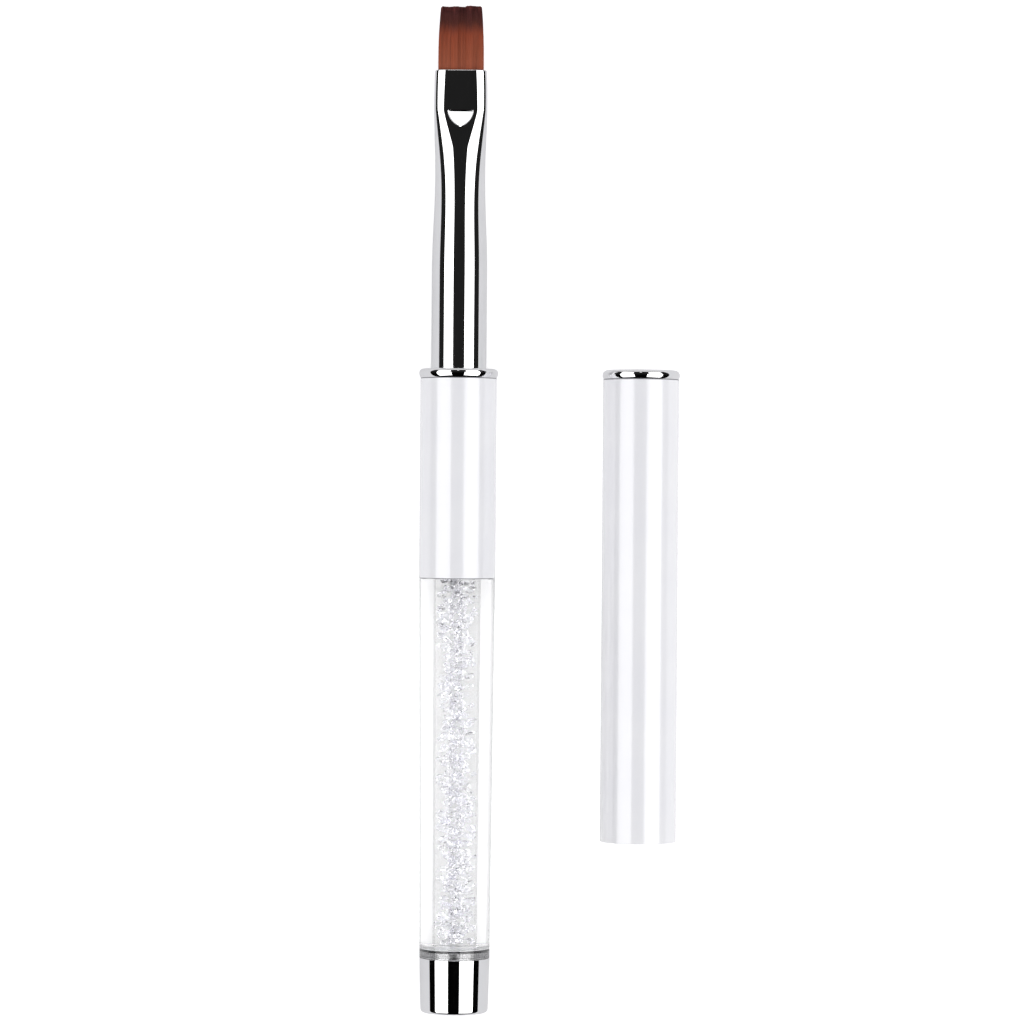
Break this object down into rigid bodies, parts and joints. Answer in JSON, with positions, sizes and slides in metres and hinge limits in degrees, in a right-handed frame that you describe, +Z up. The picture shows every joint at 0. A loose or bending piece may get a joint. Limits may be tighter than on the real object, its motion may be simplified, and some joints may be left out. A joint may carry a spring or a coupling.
{
  "type": "acrylic nail brush with cap",
  "caption": "Flat acrylic nail brush with a chrome ferrule, a white pearl collar, a clear handle filled with crystals, and its pulled-off white cap beside it.",
  "frame": {"origin": "under the middle of the brush and cap together, on the surface that they lie on", "axes": "+Y along the brush from its butt to its bristles, +Z up, so the flat of the brush faces up; the cap lies at +X"},
  "size_m": [0.0338, 0.1308, 0.0103],
  "materials": {
    "chrome": "mirror-bright plating",
    "pearl_lacquer": "glossy white pearl lacquer on thin aluminium",
    "clear_acrylic": "polished and clear",
    "clear_glue": "clear set adhesive",
    "crystal": "cut and sparkling",
    "white_plastic": "plain moulded",
    "core_plastic": "plain moulded",
    "amber_resin": "set epoxy",
    "thread": "twisted cotton",
    "hair": "fine reddish-brown hair with dark tips"
  },
  "bodies": {
    "brush": {"end_plug": "chrome", "plug_glue": "clear_glue", "acrylic_tube": "clear_acrylic", "rim_crystals": "crystal", "core_crystals": "crystal", "bore_stopper": "white_plastic", "upper_sleeve": "pearl_lacquer", "ferrule_core": "core_plastic", "ferrule_bush": "white_plastic", "collar_ring": "chrome", "ferrule": "chrome", "resin_plug": "amber_resin", "binding_thread": "thread", "bristle_root": "hair"},
    "bristles": {"bristle_tuft": "hair"},
    "cap": {"cap_tube": "pearl_lacquer", "cap_liner": "white_plastic", "cap_end_plug": "chrome"}
  },
  "joints": [
    {"name": "bristle_flex", "type": "hinge", "parent": "brush", "child": "bristles", "pos_m": [-0.0118, 0.05725, 0.00515], "axis": [1, 0, 0], "range_deg": [-25, 25], "stiffness_Nm_per_rad": 0.0018},
    {"name": "cap_slide", "type": "slide", "parent": "brush", "child": "cap", "axis": [0, 1, 0], "range_m": [0, 0.1084]}
  ]
}
